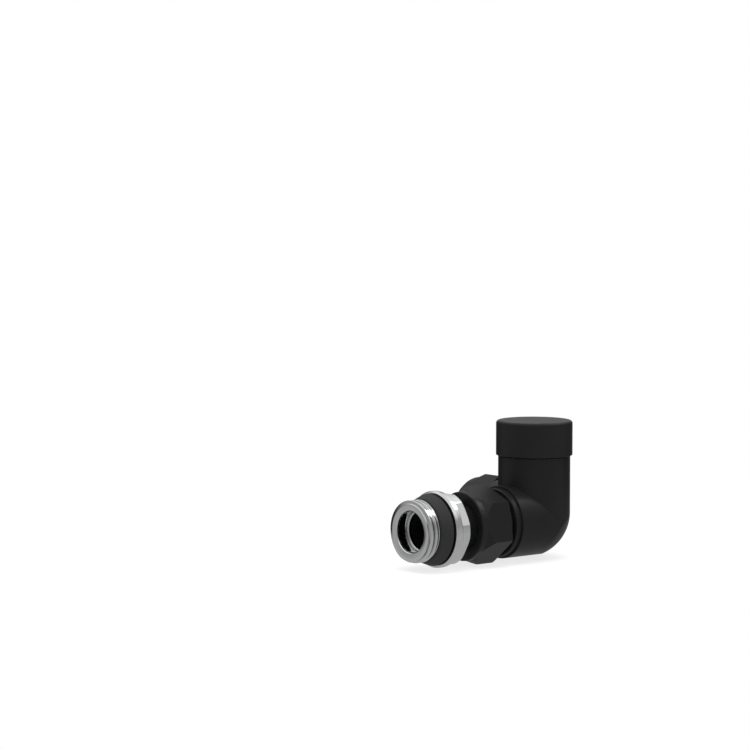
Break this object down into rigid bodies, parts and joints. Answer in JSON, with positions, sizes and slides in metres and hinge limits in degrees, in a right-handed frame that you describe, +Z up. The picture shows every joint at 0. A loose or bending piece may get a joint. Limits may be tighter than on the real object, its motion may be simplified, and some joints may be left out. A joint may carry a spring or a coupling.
{
  "type": "lockshield valve",
  "caption": "Corner lockshield radiator valve with a plain cap, compression nuts on both ports and a threaded chrome radiator tail.",
  "frame": {"origin": "centre of the pipe stop, on the pipe port's axis, where the end of the 15 mm pipe rests", "axes": "+Z up along the spindle, -X out of the pipe port, -Y out of the radiator port; the three axes cross at [0.0095, 0, 0]"},
  "size_m": [0.0422, 0.0684, 0.047],
  "materials": {
    "body_black": "satin black coating on brass",
    "cap_black": "satin black moulded plastic",
    "chrome": "bright chrome plate",
    "seal_rubber": "black rubber",
    "brass": "turned brass",
    "liner_nylon": "dark grey nylon",
    "ptfe": "white PTFE"
  },
  "bodies": {
    "valve": {"valve_body": "body_black", "bonnet": "brass", "bonnet_seal": "seal_rubber", "spindle_seal": "seal_rubber", "gland_packing": "ptfe", "gland_follower": "brass", "gland_nut": "brass"},
    "spindle": {"spindle": "brass", "thrust_washer": "ptfe"},
    "plug": {"plug_carrier": "brass", "seat_washer": "seal_rubber", "washer_disc": "brass", "washer_screw": "brass"},
    "cap": {"lockshield_cap": "cap_black", "cap_liner": "liner_nylon"},
    "tail_olive": {"tail_olive": "brass"},
    "tail_nut": {"tail_nut": "body_black"},
    "tail": {"tail_tube": "body_black", "tail_connector": "chrome", "tail_seal_ring": "seal_rubber"},
    "pipe_olive": {"pipe_olive": "brass"},
    "pipe_nut": {"pipe_nut": "body_black"}
  },
  "joints": [
    {"name": "cap_lift", "type": "slide", "parent": "valve", "child": "cap", "axis": [0, 0, 1], "range_m": [0, 0.014]},
    {"name": "spindle_turn", "type": "hinge", "parent": "valve", "child": "spindle", "pos_m": [0.0095, 0, 0], "axis": [0, 0, 1], "range_deg": [0, 1080]},
    {"name": "plug_lift", "type": "slide", "parent": "valve", "child": "plug", "axis": [0, 0, 1], "range_m": [0, 0.003]},
    {"name": "tail_draw", "type": "slide", "parent": "valve", "child": "tail_olive", "axis": [0, -1, 0], "range_m": [0, 0.00544]},
    {"name": "tail_nut_turn", "type": "hinge", "parent": "tail_olive", "child": "tail_nut", "pos_m": [0.0095, -0.02, 0], "axis": [0, -1, 0], "range_deg": [0, 1080]},
    {"name": "tail_turn", "type": "hinge", "parent": "tail_olive", "child": "tail", "pos_m": [0.0095, -0.04, 0], "axis": [0, -1, 0], "continuous": true},
    {"name": "pipe_draw", "type": "slide", "parent": "valve", "child": "pipe_olive", "axis": [-1, 0, 0], "range_m": [0, 0.00544]},
    {"name": "pipe_nut_turn", "type": "hinge", "parent": "pipe_olive", "child": "pipe_nut", "pos_m": [-0.012, 0, 0], "axis": [-1, 0, 0], "range_deg": [0, 1080]}
  ],
  "couplings": [
    {"joint": "spindle_turn", "follows": "plug_lift", "rad_per_m": 6283.2},
    {"joint": "tail_nut_turn", "follows": "tail_draw", "rad_per_m": 3463.7},
    {"joint": "pipe_nut_turn", "follows": "pipe_draw", "rad_per_m": 3463.7}
  ]
}
